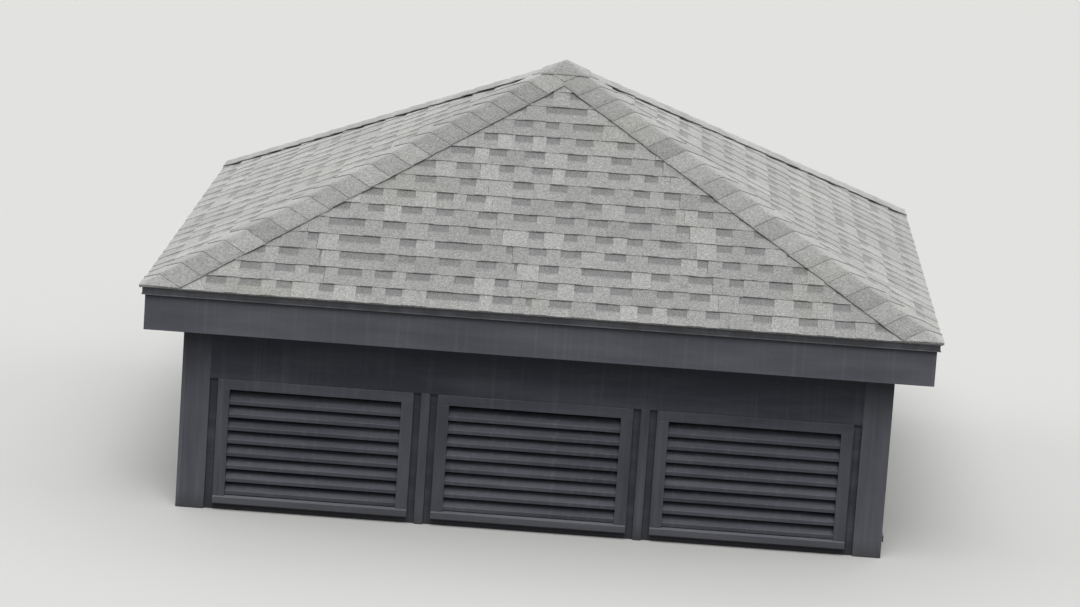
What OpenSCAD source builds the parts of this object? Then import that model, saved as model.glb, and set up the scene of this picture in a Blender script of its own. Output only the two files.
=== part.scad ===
// Square louvred cupola that stands on a roof and lets the warm air out of the building below.
// Millimetres, +Z up. The origin is the centre of the base, at the level of the bottom of the walls.
// The front faces -Y. The other sides are the same, turned by quarter turns.

/* [Roof] */
// Width of the roof across the lowest shingles
eave_w = 4060; // [3900:10:4300]
// Rise of the roof over a run of twelve
pitch_rise = 6; // [5:0.5:7]
// Rows of shingles from the eave to the peak
courses = 16; // [12:1:20]
// Pieces of cap shingle along one hip
caps = 21; // [16:1:26]
// Width of one wing of a cap shingle, across the hip
cap_wing = 152; // [100:2:180]
// Thickness of the plywood roof deck
deck_t = 16; // [12:1:22]
// Depth of the rafters, square to the slope
rafter_d = 140; // [89:1:150]
// Centre to centre of the rafters
rafter_spacing = 610; // [500:10:650]

/* [Eaves] */
// How far the shingles stand out past the face of the fascia
shingle_overhang = 32; // [20:1:40]
// Bottom of the fascia below the edge of the shingles
fascia_drop = 213; // [190:1:230]
// Bottom of the soffit above the bottom of the fascia
soffit_raise = 8; // [4:1:16]
// Bottom of the metal drip edge below the edge of the shingles
drip_drop = 30; // [20:1:40]

/* [Walls] */
// Width of the walls over the faces of the corner boards
wall_w = 3624; // [3560:2:3700]
// Height of the edge of the shingles above the base
eave_h = 1165; // [1150:5:1250]
// Thickness of the flat trim boards
board_t = 19; // [16:1:22]
// Thickness of the wall panel behind the trim
panel_t = 16; // [9:1:19]
// Width of the corner boards
corner_w = 145; // [120:1:160]
// Width of the battens between the vents
batten_w = 45; // [30:1:60]

/* [Louvre vents] */
// Width of a vent over its casing
vent_w = 1000; // [960:5:1020]
// Height of a vent over its casing
vent_h = 653; // [640:1:660]
// Bottom of the vents above the base
vent_z = 33; // [33:1:36]
// Centre to centre of the vents on one wall
vent_spacing = 1123; // [1120:1:1125]
// Width of the side casings of a vent
stile_w = 60; // [50:1:70]
// Height of the head casing of a vent
head_h = 52; // [45:1:60]
// Thickness of the casings
casing_t = 25; // [19:1:28]
// Number of blades in a vent
blades = 8; // [6:1:9]
// Slope of the blades
blade_angle = 45; // [35:1:50]
// Thickness of a blade
blade_t = 15; // [10:1:18]
// Depth of a blade from front to back, level
blade_run = 58; // [45:1:62]
// How far the sill stands out past the casing
sill_nose = 14; // [8:1:20]
// Slope of the top of the sill
sill_slope = 9; // [6:0.5:12]

/* [Framing] */
// Thickness of the framing timbers
timber_t = 38; // [35:1:45]
// Width of the framing timbers
timber_w = 89; // [80:1:95]
// Height of the headers over the vents
header_h = 140; // [89:1:160]

/* [Hidden] */
side_names = ["front", "right", "back", "left"];
corner_names = ["front_right", "back_right", "back_left", "front_left"];
place_names = ["left", "middle", "right"];

shingle_colour = "#9b9a97";
cap_colour = "#a5a4a1";
trim_colour = "#4e4f55";
panel_colour = "#3c3d43";
vent_colour = "#46484e";
metal_colour = "#3a3b40";
timber_colour = "#c09a66";
plywood_colour = "#b58c5a";

// Roof plane: its slope, and its length from the eave to the peak
pitch = atan(pitch_rise / 12);
half_eave = eave_w / 2;
slope_len = half_eave / cos(pitch);
exposure = slope_len / courses;

// Layers of the roof, measured square to the slope from the bottom of the lowest shingle
felt_t = 1.5;
metal_t = felt_t;
shingle_low = 7;
shingle_high = 13;
cap_low = 18;
cap_high = 23;
peak_cap_top = 28;
peak_cap_len = 150;
deck_bottom = -felt_t - deck_t;
rafter_bottom = deck_bottom - rafter_d;

// Faces of the eaves and walls, measured out from the centre line
fascia_face = half_eave - shingle_overhang;
fascia_back = fascia_face - board_t;
fascia_bottom = eave_h - fascia_drop;
soffit_t = 12;
soffit_z = fascia_bottom + soffit_raise;
trim_top = soffit_z + soffit_t;
half_wall = wall_w / 2;
panel_face = half_wall - board_t;
frame_face = panel_face - panel_t;
frame_back = frame_face - timber_w;
drip_flange = 50;
drip_out = 14;
drip_kick = 5;

// Heights of the walls and their framing
plate_top = eave_h - 10;
stud_top = plate_top - 2 * timber_t;
panel_top = stud_top - timber_t / 2;
frieze_z = vent_z + vent_h;

// Vent: clear opening inside the casings, and the lining boards round it
lining_t = 19;
lining_d = 55;
opening_w = vent_w - 2 * stile_w;
opening_top = vent_h - head_h;
vent_front = panel_face + casing_t;
vent_depth = casing_t + lining_d;
fit_gap = 2;
rough_half = opening_w / 2 + lining_t + fit_gap;
rough_top = vent_z + opening_top + lining_t + fit_gap;
sill_front_h = 40;
blade_front = 12;
blade_edge = blade_t / cos(blade_angle);
blade_rise = blade_run * tan(blade_angle) + blade_edge;
blade_first = sill_top(blade_front) + 4;
blade_pitch = (opening_top - 2 - blade_rise - blade_first) / (blades - 1);
housing = 8;

// Peak of the framing
block_half = 50;
far = 3000;
mitre_gap = 1;

// Height of a plane of the roof at a distance out from the centre line
function roof_z(out, layer) = eave_h + (half_eave - out) * tan(pitch) + layer / cos(pitch);

// Height of the same plane along a hip, at a distance out on the diagonal
function hip_z(out, layer) = roof_z(out / sqrt(2), layer);

// Where the bottom of a rafter comes down to a level
function seat_out(level, layer) = half_eave - (level - eave_h - layer / cos(pitch)) / tan(pitch);

// Height of the top of a sill above the bottom of its vent, at a depth behind the face of the casing
function sill_top(depth) = sill_front_h + (sill_nose + depth) * tan(sill_slope);

// Top line of overlapping rows: each starts thick at its lower edge and thins under the next
function rows(count, length, low, high) = [
    for (i = [0:count - 1])
        for (end = [0, 1])
            [(i + end) * length, end == 0 ? high : low]
];

// Turns what is drawn for the front to another side
module on_side(k) {
    rotate([0, 0, 90 * k])
        children();
}

// Places what is drawn flat, from the eave up the front slope
module on_slope() {
    translate([0, -half_eave, eave_h])
        rotate([pitch, 0, 0])
            children();
}

// Extrudes a section drawn as distance out and height, along the front
module along_front(length) {
    rotate([90, 0, -90])
        linear_extrude(height = length, center = true)
            children();
}

// The quarter of the plan that belongs to the front, out to a distance
module front_quarter(out, gap = 0) {
    intersection() {
        translate([0, -gap * sqrt(2), 0])
            linear_extrude(height = far)
                polygon([[-far, -far], [far, -far], [0, 0]]);
        translate([-out, -out, 0])
            cube([2 * out, 2 * out, far]);
    }
}

// Wall panel with its three openings for the vents
module wall(k) {
    width = k % 2 == 0 ? 2 * panel_face : 2 * frame_face;
    color(panel_colour)
        on_side(k)
            difference() {
                translate([-width / 2, -panel_face, 0])
                    cube([width, panel_t, panel_top]);
                for (i = [-1:1])
                    translate([i * vent_spacing - rough_half, -panel_face - 1, timber_t - fit_gap])
                        cube([2 * rough_half, panel_t + 2, rough_top - timber_t + fit_gap]);
            }
}

// Flat board between the heads of the vents and the soffit
module frieze(k) {
    inner = half_wall - corner_w;
    color(trim_colour)
        on_side(k)
            translate([-inner, -half_wall, frieze_z])
                cube([2 * inner, board_t, trim_top - frieze_z]);
}

// Two boards nailed together round a corner of the walls
module corner_boards(k) {
    color(trim_colour)
        on_side(k)
            linear_extrude(height = trim_top)
                polygon([
                    [half_wall - corner_w, -half_wall],
                    [half_wall, -half_wall],
                    [half_wall, -half_wall + corner_w],
                    [panel_face, -half_wall + corner_w],
                    [panel_face, -panel_face],
                    [half_wall - corner_w, -panel_face]
                ]);
}

// Narrow boards that cover the panel between the vents
module vent_battens() {
    color(trim_colour)
        for (k = [0:3])
            on_side(k)
                for (s = [-1, 1])
                    translate([s * vent_spacing / 2 - batten_w / 2, -half_wall, 0])
                        cube([batten_w, board_t, frieze_z]);
}

// Casing boards on the face of a vent: the head, and the two stiles tenoned into it
module vent_casing() {
    translate([-vent_w / 2, 0, opening_top])
        cube([vent_w, casing_t, head_h]);
    for (s = [0, 1])
        mirror([s, 0, 0])
            translate([opening_w / 2, 0, sill_front_h])
                cube([stile_w, casing_t, opening_top - sill_front_h + head_h / 2]);
}

// Lining boards, let into the casing, that run back through the wall on both sides and over the top
module vent_lining() {
    rebate = casing_t / 2;
    for (s = [0, 1])
        mirror([s, 0, 0])
            translate([opening_w / 2, casing_t - rebate, sill_front_h])
                cube([lining_t, lining_d + rebate, opening_top + lining_t - sill_front_h]);
    translate([-opening_w / 2 - lining_t / 2, casing_t - rebate, opening_top])
        cube([opening_w + lining_t, lining_d + rebate, lining_t]);
}

// Sloping sill with a nose and a drip groove, and a tail that runs through the wall on the sill plate
module vent_sill() {
    groove = 4;
    tail_bottom = timber_t - vent_z;
    front = [
        [-sill_nose, 6],
        [-sill_nose + groove, 6],
        [-sill_nose + groove, 10],
        [-sill_nose + 2 * groove, 10],
        [-sill_nose + 2 * groove, 0],
        [casing_t, 0],
        [casing_t, sill_top(casing_t)],
        [-sill_nose, sill_top(-sill_nose)]
    ];
    tail = [
        [0, tail_bottom],
        [vent_depth, tail_bottom],
        [vent_depth, sill_top(vent_depth)],
        [casing_t, sill_top(casing_t)],
        [0, sill_front_h / 2]
    ];
    rotate([90, 0, 90]) {
        linear_extrude(height = vent_w, center = true)
            polygon(front);
        linear_extrude(height = opening_w + 2 * lining_t, center = true)
            polygon(tail);
    }
}

// Blades with plumb front and back edges, their ends housed in the lining
module vent_blades() {
    run_up = blade_run * tan(blade_angle);
    rotate([90, 0, 90])
        for (i = [0:blades - 1])
            translate([blade_front, blade_first + i * blade_pitch, 0])
                linear_extrude(height = opening_w + 2 * housing, center = true)
                    polygon([[0, 0], [blade_run, run_up], [blade_run, run_up + blade_edge], [0, blade_edge]]);
}

// One louvre vent: the casing lies on the panel and the sill stands on the sill plate
module vent(k, i) {
    color(vent_colour)
        on_side(k)
            translate([(i - 1) * vent_spacing, -vent_front, vent_z]) {
                vent_casing();
                vent_lining();
                vent_sill();
                vent_blades();
            }
}

// Fascia board, mitred at the corners, its top planed to the slope of the deck
module fascia(k) {
    color(trim_colour)
        on_side(k)
            intersection() {
                along_front(eave_w)
                    polygon([
                        [fascia_back, fascia_bottom],
                        [fascia_face, fascia_bottom],
                        [fascia_face, roof_z(fascia_face, deck_bottom)],
                        [fascia_back, roof_z(fascia_back, deck_bottom)]
                    ]);
                front_quarter(half_eave);
            }
}

// Level boards under the eaves, between the frieze and the fascia
module soffits() {
    color(trim_colour)
        for (k = [0:3])
            on_side(k)
                intersection() {
                    translate([-half_eave, -fascia_back, soffit_z])
                        cube([eave_w, fascia_back - half_wall, soffit_t]);
                    front_quarter(half_eave, mitre_gap);
                }
}

// Folded metal strips over the edge of the deck, each with a small kick that throws the water clear
module drip_edges() {
    out = fascia_face + drip_out;
    back = out - metal_t;
    foot = eave_h - drip_drop;
    color(metal_colour)
        for (k = [0:3])
            on_side(k)
                intersection() {
                    along_front(eave_w)
                        polygon([
                            [fascia_face - drip_flange, roof_z(fascia_face - drip_flange, 0)],
                            [out, roof_z(out, 0)],
                            [out, foot + drip_kick],
                            [out + drip_kick, foot],
                            [out + drip_kick - 2 * metal_t, foot],
                            [back, foot + drip_kick - metal_t],
                            [back, roof_z(back, -metal_t)],
                            [fascia_face - drip_flange, roof_z(fascia_face - drip_flange, -metal_t)]
                        ]);
                    front_quarter(half_eave, mitre_gap);
                }
}

// Rows of shingles on one slope, on the felt, cut plumb at the eave and at the hips
module slope(k) {
    step_back = (shingle_overhang + drip_flange) / cos(pitch) + felt_t;
    peak = slope_len + shingle_high;
    color(shingle_colour)
        on_side(k)
            intersection() {
                on_slope()
                    rotate([90, 0, 90])
                        linear_extrude(height = eave_w, center = true)
                            polygon(concat(
                                [[-shingle_high, 0], [-shingle_high, shingle_high]],
                                rows(courses, exposure, shingle_low, shingle_high),
                                [[peak, shingle_low], [peak, -felt_t], [step_back, -felt_t], [step_back, 0]]
                            ));
                front_quarter(half_eave);
            }
}

// One wing of the cap shingles that run up the right hip of the front slope
module cap_row() {
    hip_len = norm([half_eave, slope_len]);
    lap = 30;
    translate([half_eave, 0, 0])
        rotate([0, 0, 180 - atan(slope_len / half_eave)])
            translate([0, cap_wing, 0])
                rotate([90, 0, 0])
                    linear_extrude(height = cap_wing + lap)
                        polygon(concat(
                            [[-lap, shingle_high], [-lap, cap_high]],
                            rows(caps, hip_len / caps, cap_low, cap_high),
                            [[hip_len + lap, cap_low], [hip_len + lap, shingle_high]]
                        ));
}

// Cap shingles folded over the four hips, and the last one folded over the peak
module hip_caps() {
    color(cap_colour)
        for (k = [0:3])
            on_side(k)
                intersection() {
                    on_slope() {
                        cap_row();
                        mirror([1, 0, 0])
                            cap_row();
                        translate([-peak_cap_len, slope_len - peak_cap_len, shingle_high])
                            cube([2 * peak_cap_len, 2 * peak_cap_len, peak_cap_top - shingle_high]);
                    }
                    front_quarter(half_eave);
                }
}

// Four sheets of plywood with an open joint along each hip
module roof_deck() {
    color(plywood_colour)
        for (k = [0:3])
            on_side(k)
                intersection() {
                    along_front(eave_w)
                        polygon([
                            [fascia_face, roof_z(fascia_face, -felt_t)],
                            [0, roof_z(0, -felt_t)],
                            [0, roof_z(0, deck_bottom)],
                            [fascia_face, roof_z(fascia_face, deck_bottom)]
                        ]);
                    front_quarter(fascia_face, mitre_gap);
                }
}

// Eight-sided block that the heads of the rafters meet at
module peak_block() {
    top = roof_z(block_half, deck_bottom);
    bottom = roof_z(block_half, rafter_bottom) - timber_t;
    color(timber_colour)
        translate([0, 0, bottom])
            rotate([0, 0, 22.5])
                cylinder(h = top - bottom, r = block_half / cos(22.5), $fn = 8);
}

// Rafter from the block to the back of the fascia, notched to sit on the plate
module rafter_blank() {
    along_front(timber_t)
        polygon([
            [block_half, roof_z(block_half, deck_bottom)],
            [fascia_back, roof_z(fascia_back, deck_bottom)],
            [fascia_back, roof_z(fascia_back, rafter_bottom)],
            [frame_face, roof_z(frame_face, rafter_bottom)],
            [frame_face, plate_top],
            [seat_out(plate_top, rafter_bottom), plate_top],
            [block_half, roof_z(block_half, rafter_bottom)]
        ]);
}

// One rafter in the middle of each slope, and shorter ones that end against the hips
module rafters() {
    jacks = floor((frame_face - timber_t) / rafter_spacing);
    color(timber_colour)
        for (k = [0:3])
            on_side(k) {
                rafter_blank();
                intersection() {
                    for (i = [1:jacks])
                        for (s = [-1, 1])
                            translate([s * i * rafter_spacing, 0, 0])
                                rafter_blank();
                    front_quarter(half_eave, timber_t / 2);
                }
            }
}

// Rafters under the hips, set low enough for their edges to carry the deck
module hip_rafters() {
    drop = timber_t / 2 / sqrt(2) * tan(pitch);
    depth = rafter_d / cos(atan(tan(pitch) / sqrt(2)));
    tail = fascia_back * sqrt(2) - timber_t / 2;
    heel = frame_face * sqrt(2) + mitre_gap;
    seat = heel - (plate_top - hip_z(heel, deck_bottom) + drop + depth) / (tan(pitch) / sqrt(2));
    color(timber_colour)
        for (k = [0:3])
            rotate([0, 0, 45 + 90 * k])
                along_front(timber_t)
                    polygon([
                        [block_half, hip_z(block_half, deck_bottom) - drop],
                        [tail, hip_z(tail, deck_bottom) - drop],
                        [tail, hip_z(tail, deck_bottom) - drop - depth],
                        [heel, hip_z(heel, deck_bottom) - drop - depth],
                        [heel, plate_top],
                        [seat, plate_top],
                        [block_half, hip_z(block_half, deck_bottom) - drop - depth]
                    ]);
}

// A square ring of timbers, lapped at the corners
module plate_ring(z, height) {
    translate([0, 0, z])
        difference() {
            translate([-frame_face, -frame_face, 0])
                cube([2 * frame_face, 2 * frame_face, height]);
            translate([-frame_back, -frame_back, -1])
                cube([2 * frame_back, 2 * frame_back, height + 2]);
        }
}

// Doubled plates that the rafters sit on
module top_plates() {
    color(timber_colour)
        plate_ring(stud_top, 2 * timber_t);
}

// Plates that the cupola stands on
module sill_plates() {
    color(timber_colour)
        plate_ring(0, timber_t);
}

// Posts at the corners and a stud on each side of every vent
module wall_studs() {
    height = stud_top - timber_t;
    color(timber_colour)
        for (k = [0:3])
            on_side(k)
                translate([0, -frame_face, timber_t]) {
                    translate([frame_back, 0, 0])
                        cube([timber_w, timber_w, height]);
                    for (i = [-1:1])
                        for (s = [-1, 1])
                            translate([i * vent_spacing + s * (rough_half + timber_t / 2) - timber_t / 2, 0, 0])
                                cube([timber_t, timber_w, height]);
                }
}

// Header between the two studs over each vent
module vent_headers() {
    color(timber_colour)
        for (k = [0:3])
            on_side(k)
                for (i = [-1:1])
                    translate([i * vent_spacing - rough_half, -frame_face, rough_top])
                        cube([2 * rough_half, 2 * timber_t, header_h]);
}

for (k = [0:3]) {
    wall(k);
    frieze(k);
    corner_boards(k);
    fascia(k);
    slope(k);
    for (i = [0:2])
        vent(k, i);
}
vent_battens();
soffits();
drip_edges();
hip_caps();
roof_deck();
peak_block();
hip_rafters();
rafters();
top_plates();
wall_studs();
vent_headers();
sill_plates();
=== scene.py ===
import math
import random

import bmesh
import bpy
import numpy as np
from mathutils import Matrix, Vector, noise


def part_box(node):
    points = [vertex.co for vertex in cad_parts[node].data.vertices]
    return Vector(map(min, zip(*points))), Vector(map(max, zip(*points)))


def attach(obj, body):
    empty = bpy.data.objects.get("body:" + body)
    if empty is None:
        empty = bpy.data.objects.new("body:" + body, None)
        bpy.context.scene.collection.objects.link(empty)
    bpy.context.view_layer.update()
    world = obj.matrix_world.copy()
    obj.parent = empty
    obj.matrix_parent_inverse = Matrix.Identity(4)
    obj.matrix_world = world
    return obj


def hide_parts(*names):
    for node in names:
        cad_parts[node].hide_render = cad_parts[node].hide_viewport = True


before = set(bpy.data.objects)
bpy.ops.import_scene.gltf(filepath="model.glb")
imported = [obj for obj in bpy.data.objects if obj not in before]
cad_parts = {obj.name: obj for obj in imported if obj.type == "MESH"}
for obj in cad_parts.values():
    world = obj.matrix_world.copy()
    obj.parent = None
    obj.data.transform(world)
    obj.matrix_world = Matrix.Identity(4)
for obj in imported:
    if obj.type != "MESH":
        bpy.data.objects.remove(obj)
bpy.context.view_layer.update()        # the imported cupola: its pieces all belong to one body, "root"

mm = 0.001
sideNames = ("front", "right", "back", "left")
cornerNames = ("front_right", "back_right", "back_left", "front_left")
placeNames = ("left", "middle", "right")

# The eave line that the roof is laid from
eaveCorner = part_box("front_slope")[0]
halfEave = -eaveCorner.y
eaveZ = eaveCorner.z


# Small helpers: nodes, colours and pieces

# Adds one node: a socket takes a value or the output that feeds it, and settings are the node's own
def addNode(tree, kind, sockets=None, **settings):
    node = tree.nodes.new(kind)
    for name, value in settings.items():
        setattr(node, name, value)
    for name, value in (sockets or {}).items():
        if isinstance(value, bpy.types.NodeSocket):
            tree.links.new(value, node.inputs[name])
        else:
            node.inputs[name].default_value = value
    return node


# Turns an sRGB hex colour to the linear values that the nodes take
def linearColour(hexColour):
    channels = [int(hexColour[i:i + 2], 16) / 255 for i in (1, 3, 5)]
    return [c / 12.92 if c <= 0.04045 else ((c + 0.055) / 1.055) ** 2.4 for c in channels] + [1]


# Gives a material or a world an empty tree of nodes
def emptyTree(owner):
    owner.use_nodes = True
    owner.node_tree.nodes.clear()
    return owner.node_tree


# A new material with its shader, whose even values are set on the shader itself
def startMaterial(name, constants):
    material = bpy.data.materials.new(name)
    tree = emptyTree(material)
    shader = addNode(tree, "ShaderNodeBsdfPrincipled", constants)
    addNode(tree, "ShaderNodeOutputMaterial", {"Surface": shader.outputs["BSDF"]})
    return material, tree, shader


def quarterTurn(k):
    return Matrix.Rotation(math.radians(90 * k), 4, "Z")


def addObject(name, data):
    thing = bpy.data.objects.new(name, data)
    bpy.context.scene.collection.objects.link(thing)
    return thing


# Adds a finished bmesh to another one, with its attributes, and frees it
def pour(target, part, matrix=None):
    if matrix:
        bmesh.ops.transform(part, matrix=matrix, verts=part.verts)
    carrier = bpy.data.meshes.new("carrier")
    part.to_mesh(carrier)
    target.from_mesh(carrier)
    bpy.data.meshes.remove(carrier)
    part.free()


# Makes the object, seats it on the body and hides the CAD nodes that it stands for
def finishPiece(name, bm, material, nodes, smoothAngle=None):
    bmesh.ops.recalc_face_normals(bm, faces=bm.faces)
    mesh = bpy.data.meshes.new(name)
    bm.to_mesh(mesh)
    bm.free()
    mesh.materials.append(material)
    if smoothAngle:
        mesh.shade_smooth()
        mesh.set_sharp_from_angle(angle=math.radians(smoothAngle))
    piece = addObject(name, mesh)
    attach(piece, "root")
    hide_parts(*nodes)


# Materials

colours = {name: linearColour(shade) for name, shade in {
    "paint": "#393b44",        # slate grey, fresh
    "chalk": "#7c7d83",        # the same paint, chalked by sun and rain
    "grime": "#3b3a38",
    "tabLight": "#b4b4b2",
    "tabDark": "#8e8e8d",
    "band": "#868686",         # dark granules in the shadow band of a shingle
    "moss": "#95967f",
    "capLight": "#b0b0ae",
    "capDark": "#8c8c8c",
    "enamel": "#34353a",
    "felt": "#3d3d3c",
    "zinc": "#7c7e81",
    "earlyWood": "#c8a673",
    "lateWood": "#94683a",
    "veneer": "#c19d6c",
    "veneerRing": "#a27544",
    "background": "#e2e2e0",
    "floorSeen": "#cececc",
    "floorBounce": "#5a5a5c",  # what the floor throws back on the cupola
}.items()}
# A noise texture seldom leaves this span
noiseSpan = {"From Min": 0.3, "From Max": 0.7}


# Exterior acrylic paint on planed softwood: satin where it is sheltered, dull and paler where sun and rain
# have chalked it, with growth rings that just show through, dust on ledges and grime low down. "chalking"
# says how exposed a board is, and on the friezes and sills also paints shade and light: the friezes are
# kept darker as painted shade from the eaves, the sills paler as a painted highlight on their noses.
# "arris" marks its rounded edges, where the paint is thin
def satinPaint(name):
    paint = {
        # Lengths of the patterns along, across and through a board
        "rings": (0.25, 4 * mm, 4 * mm),              # a little coarser than the real 2 to 3 mm
        "brush": (0.08, 2.5 * mm, 2.5 * mm),
        "drift": (0.7, 0.12, 0.12),
        "runs": (0.025, 0.025, 1.1),                  # thin runs down the cupola from its eaves
        "driftChalk": {**noiseSpan, "To Min": -0.17, "To Max": 0.17},
        "runChalk": {"From Min": 0.52, "From Max": 0.75, "To Max": 0.16},
        "arrisWear": {"To Max": 0.22},
        "ledgeDust": {"From Min": 0.75, "To Max": 0.35},
        "grimeHeight": 0.09,
        "dulling": {"From Max": 0.6, "To Min": 0.42, "To Max": 0.66},
        "ringRelief": {"Strength": 0.7, "Distance": 1 * mm},
        "brushRelief": {"Strength": 0.5, "Distance": 0.4 * mm},
    }
    material, tree, shader = startMaterial(name, {"Specular IOR Level": 0.2})
    place = addNode(tree, "ShaderNodeTexCoord").outputs["Object"]
    board = addNode(tree, "ShaderNodeAttribute", attribute_name="grain").outputs["Vector"]
    exposed = addNode(tree, "ShaderNodeAttribute", attribute_name="chalking").outputs["Fac"]
    worn = addNode(tree, "ShaderNodeAttribute", attribute_name="arris").outputs["Fac"]
    pattern = {}
    for key, source, detail in (
            ("rings", board, {"Detail": 2, "Distortion": 0.6}),
            ("brush", board, {"Detail": 1}),
            ("drift", board, {"Detail": 5, "Roughness": 0.55}),
            ("runs", place, {"Detail": 3})):
        sized = addNode(tree, "ShaderNodeMapping", {
            "Vector": source, "Scale": [1 / length for length in paint[key]]})
        pattern[key] = addNode(tree, "ShaderNodeTexNoise", {
            "Vector": sized.outputs[0], "Scale": 1, **detail}).outputs["Fac"]

    # Chalking: the board's own, with drifts and runs, more on the arrises, and dust on ledges. The board's
    # own chalking also holds painted shade on the friezes and a painted highlight on the sills
    lookingUp = addNode(tree, "ShaderNodeSeparateXYZ", {
        "Vector": addNode(tree, "ShaderNodeNewGeometry").outputs["Normal"]}).outputs["Z"]
    chalking = exposed
    for key, source in (
            ("driftChalk", pattern["drift"]), ("runChalk", pattern["runs"]),
            ("arrisWear", worn), ("ledgeDust", lookingUp)):
        more = addNode(tree, "ShaderNodeMapRange", {"Value": source, **paint[key]})
        chalking = addNode(tree, "ShaderNodeMath", {
            0: chalking, 1: more.outputs[0]}, operation="ADD").outputs[0]
    chalked = addNode(tree, "ShaderNodeMix", {
        0: chalking, 6: colours["paint"], 7: colours["chalk"]}, data_type="RGBA")

    # Grime that rain has splashed up from below
    height = addNode(tree, "ShaderNodeSeparateXYZ", {"Vector": place})
    low = addNode(tree, "ShaderNodeMapRange", {
        "Value": height.outputs["Z"], "From Max": paint["grimeHeight"], "To Min": 1, "To Max": 0})
    splash = addNode(tree, "ShaderNodeMath", {0: low.outputs[0], 1: pattern["runs"]}, operation="MULTIPLY")
    grimy = addNode(tree, "ShaderNodeMix", {
        0: splash.outputs[0], 6: chalked.outputs[2], 7: colours["grime"]}, data_type="RGBA")
    tree.links.new(grimy.outputs[2], shader.inputs["Base Color"])

    dull = addNode(tree, "ShaderNodeMapRange", {"Value": chalking, **paint["dulling"]})
    tree.links.new(dull.outputs[0], shader.inputs["Roughness"])
    ringBump = addNode(tree, "ShaderNodeBump", {"Height": pattern["rings"], **paint["ringRelief"]})
    brushBump = addNode(tree, "ShaderNodeBump", {
        "Height": pattern["brush"], "Normal": ringBump.outputs[0], **paint["brushRelief"]})
    tree.links.new(brushBump.outputs[0], shader.inputs["Normal"])
    return material


# Asphalt shingle faced with crushed stone: dead matt, speckled, each tab its own blend of greys. "lay"
# holds the place on the shingle, across and up from its butt, and how many layers down the surface lies
def stoneGranules(name, light, dark):
    stone = {
        "granule": 3.5 * mm,          # real granules are 1 to 2 mm, drawn coarser so that they show
        "granuleTone": {"To Min": 0.56, "To Max": 1.42},
        "cluster": 14 * mm,           # drops of one colour in the blend
        "clusterBlend": {**noiseSpan, "To Min": -0.18, "To Max": 0.18},
        "clusterTone": {"From Min": 0.32, "From Max": 0.68, "To Min": 0.93, "To Max": 1.07},
        "bandStart": 0.50,            # share of the exposure where the shadow band begins
        "bandBlend": 0.16,
        "bandStray": 0.12,            # the band is sprayed on, so granules stray over its edge
        "patch": 0.6,                 # patches where the roof stays damp and has a faint green bloom
        "bloom": {"From Min": 0.56, "From Max": 0.75, "To Max": 0.3},
        "relief": {"Strength": 0.5, "Distance": 0.7 * mm},
    }
    material, tree, shader = startMaterial(name, {
        "Roughness": 0.92, "Diffuse Roughness": 1, "Specular IOR Level": 0.2,
        "Sheen Weight": 0.25, "Sheen Roughness": 0.6})
    place = addNode(tree, "ShaderNodeTexCoord").outputs["Object"]
    tint = addNode(tree, "ShaderNodeAttribute", attribute_name="tint").outputs["Fac"]
    lay = addNode(tree, "ShaderNodeSeparateXYZ", {
        "Vector": addNode(tree, "ShaderNodeAttribute", attribute_name="lay").outputs["Vector"]})
    granules = addNode(tree, "ShaderNodeTexVoronoi", {"Vector": place, "Scale": 1 / stone["granule"]})
    granuleTone = addNode(tree, "ShaderNodeSeparateXYZ", {"Vector": granules.outputs["Color"]})
    clusters = addNode(tree, "ShaderNodeTexNoise", {
        "Vector": place, "Scale": 1 / stone["cluster"], "Detail": 3, "Roughness": 0.65}).outputs["Fac"]
    patches = addNode(tree, "ShaderNodeTexNoise", {
        "Vector": place, "Scale": 1 / stone["patch"], "Detail": 4, "Roughness": 0.55}).outputs["Fac"]

    # The blend of light and dark granules, with the tab's own tint
    blotch = addNode(tree, "ShaderNodeMapRange", {"Value": clusters, **stone["clusterBlend"]})
    mixed = addNode(tree, "ShaderNodeMath", {
        0: tint, 1: blotch.outputs[0]}, operation="ADD", use_clamp=True)
    blend = addNode(tree, "ShaderNodeMix", {
        0: mixed.outputs[0], 6: colours[dark], 7: colours[light]}, data_type="RGBA")

    # The shadow band, on the layers under the tabs
    bandStart = stone["bandStart"] + stone["bandStray"] / 2
    stray = addNode(tree, "ShaderNodeMath", {
        0: clusters, 1: stone["bandStray"] * exposure, 2: lay.outputs["Y"]}, operation="MULTIPLY_ADD")
    band = addNode(tree, "ShaderNodeMapRange", {
        "Value": stray.outputs[0], "From Min": bandStart * exposure,
        "From Max": (bandStart + stone["bandBlend"]) * exposure}, interpolation_type="SMOOTHSTEP")
    sunk = addNode(tree, "ShaderNodeMath", {0: lay.outputs["Z"], 1: 1}, operation="MINIMUM")
    shaded = addNode(tree, "ShaderNodeMath", {0: band.outputs[0], 1: sunk.outputs[0]}, operation="MULTIPLY")
    banded = addNode(tree, "ShaderNodeMix", {
        0: shaded.outputs[0], 6: blend.outputs[2], 7: colours["band"]}, data_type="RGBA")

    damp = addNode(tree, "ShaderNodeMapRange", {"Value": patches, **stone["bloom"]})
    bloomed = addNode(tree, "ShaderNodeMix", {
        0: damp.outputs[0], 6: banded.outputs[2], 7: colours["moss"]}, data_type="RGBA")
    speckle = addNode(tree, "ShaderNodeMapRange", {
        "Value": granuleTone.outputs["X"], **stone["granuleTone"]})
    mottle = addNode(tree, "ShaderNodeMapRange", {"Value": clusters, **stone["clusterTone"]})
    grained = addNode(tree, "ShaderNodeMath", {
        0: speckle.outputs[0], 1: mottle.outputs[0]}, operation="MULTIPLY")
    speckled = addNode(tree, "ShaderNodeVectorMath", {
        0: bloomed.outputs[2], "Scale": grained.outputs[0]}, operation="SCALE")
    tree.links.new(speckled.outputs[0], shader.inputs["Base Color"])
    grit = addNode(tree, "ShaderNodeBump", {
        "Height": granules.outputs["Distance"], **stone["relief"]}, invert=True)
    tree.links.new(grit.outputs[0], shader.inputs["Normal"])
    return material


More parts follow.
